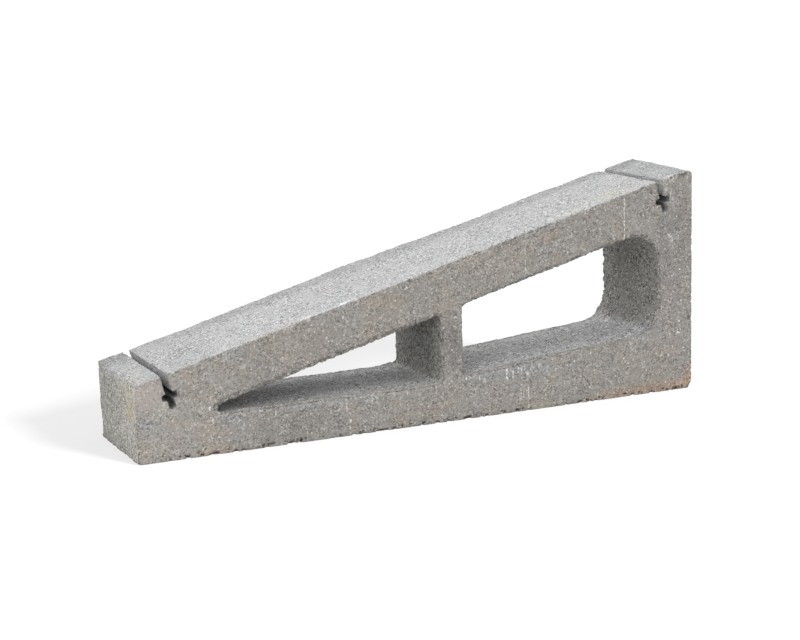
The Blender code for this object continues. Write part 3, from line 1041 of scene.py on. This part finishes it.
def concrete():
    material = bpy.data.materials.new("cast_concrete")
    g = Concrete(material)
    colour = g.base_tones()
    for layer in (g.stained_and_painted_light, g.toned, g.grained, g.marked, g.painted_pore_shade, g.painted_damage_shade, g.painted_slot_shade, g.streaked):
        colour = layer(colour)
    g.fill(g.tree.nodes["Principled BSDF"], {
        "Base Color": colour,
        "Normal": g.bump(),
        "Roughness": g.step(g.noise(g.place, 0.006, 2.0, offset=9.0), 0.3, 0.7, 0.86, 0.97),
        "Specular IOR Level": 0.35,
    })
    return material


# Floor: its own colour, how white it shows in the picture, and the colour that takes the shadow
FLOOR_COLOUR = rgb(0.20, 0.20, 0.20)
FLOOR_WHITE = 0.715
FLOOR_SHADE_COLOUR = rgb(0.105, 0.105, 0.105)
FLOOR_SIZE = 60.0
WORLD_LEVEL = 0.95

# Soft lamps: name, where the light comes from, strength, angle across
LAMPS = [
    ("overhead", (-0.15, -0.10, 1.0), 0.80, 100),
    ("left_fill", (-1.0, -0.35, 0.55), 0.95, 80),
]

# The floor's one soft shadow is of a lamp at the front right that lights only the floor
FLOOR_LAMP = ("floor_shadow", (0.392, -0.793, 0.466), 11.9, 13)
LAMP_DISTANCE = 3.0

# Camera: its place and directions, and the focal length in pixels of the photo
CAMERA_PLACE = (-1.2899, -2.8389, 0.7884)
CAMERA_RIGHT = (0.908897, -0.416164, -0.026695)
CAMERA_UP = (0.106456, 0.169653, 0.979737)
CAMERA_FORWARD = (0.403203, 0.893323, -0.1985)
FOCAL_PIXELS = 1904.9
PHOTO_PIXELS = 800
SENSOR_WIDTH = 36.0
CLIP_RANGE = (0.1, 200.0)


def floor_material():
    """Grey in the light that it throws on the block, and white with a soft shadow in the picture."""
    material = bpy.data.materials.new("pale_floor")
    g = Graph(material)
    shader = g.tree.nodes["Principled BSDF"]
    g.fill(shader, {"Base Color": FLOOR_COLOUR, "Roughness": 1.0, "Specular IOR Level": 0.0})
    rays = g.tree.nodes.new("ShaderNodeLightPath").outputs
    seen = g.most(rays["Is Camera Ray"], rays["Is Glossy Ray"], rays["Is Transmission Ray"])
    white = g.node("Emission", {"Color": WHITE, "Strength": FLOOR_WHITE})
    shade = g.node("BsdfDiffuse", {"Color": FLOOR_SHADE_COLOUR})
    shown = g.node("AddShader", {0: white, 1: shade})
    both = g.node("MixShader", {0: seen, 1: shader.outputs[0], 2: shown})
    g.fill(g.tree.nodes["Material Output"], {"Surface": both})
    return material


def floor():
    mesh = bpy.data.meshes.new("floor")
    bm = bmesh.new()
    bmesh.ops.create_grid(bm, size=FLOOR_SIZE)
    bm.to_mesh(mesh)
    bm.free()
    mesh.materials.append(floor_material())
    obj = bpy.data.objects.new("floor", mesh)
    bpy.context.scene.collection.objects.link(obj)
    return obj


def soft_lamp(name, source, strength, across):
    lamp = bpy.data.lights.new(name, "SUN")
    lamp.energy = strength
    lamp.angle = math.radians(across)
    holder = bpy.data.objects.new(name, lamp)
    holder.rotation_euler = Vector(source).to_track_quat("Z", "Y").to_euler()
    holder.location = Vector(source).normalized() * LAMP_DISTANCE
    bpy.context.scene.collection.objects.link(holder)
    return holder


def studio_light(floor_object):
    """A pale world that is white in the picture, the block's lamps and the floor's own lamp."""
    world = bpy.data.worlds.new("studio")
    bpy.context.scene.world = world
    g = Graph(world)
    seen = g.node("LightPath", output="Is Camera Ray")
    level = g.node("MapRange", {0: seen, 3: WORLD_LEVEL, 4: 1.0})
    g.fill(g.tree.nodes["Background"], {"Color": WHITE, "Strength": level})

    for lamp in LAMPS:
        soft_lamp(*lamp)
    only_floor = bpy.data.collections.new("floor_only")
    only_floor.objects.link(floor_object)
    soft_lamp(*FLOOR_LAMP).light_linking.receiver_collection = only_floor


def camera():
    data = bpy.data.cameras.new("photo_view")
    data.sensor_width = SENSOR_WIDTH
    data.lens = FOCAL_PIXELS * SENSOR_WIDTH / PHOTO_PIXELS
    data.clip_start, data.clip_end = CLIP_RANGE
    cam = bpy.data.objects.new("photo_view", data)
    turn = Matrix((CAMERA_RIGHT, CAMERA_UP, -Vector(CAMERA_FORWARD))).transposed()
    cam.matrix_world = Matrix.Translation(CAMERA_PLACE) @ turn.to_4x4()
    bpy.context.scene.collection.objects.link(cam)
    bpy.context.scene.camera = cam


camera()
block = worn_block()
block.data.materials.append(concrete())
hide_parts(NODE)
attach(block, "root")
studio_light(floor())
bpy.context.scene.view_settings.view_transform = "Standard"
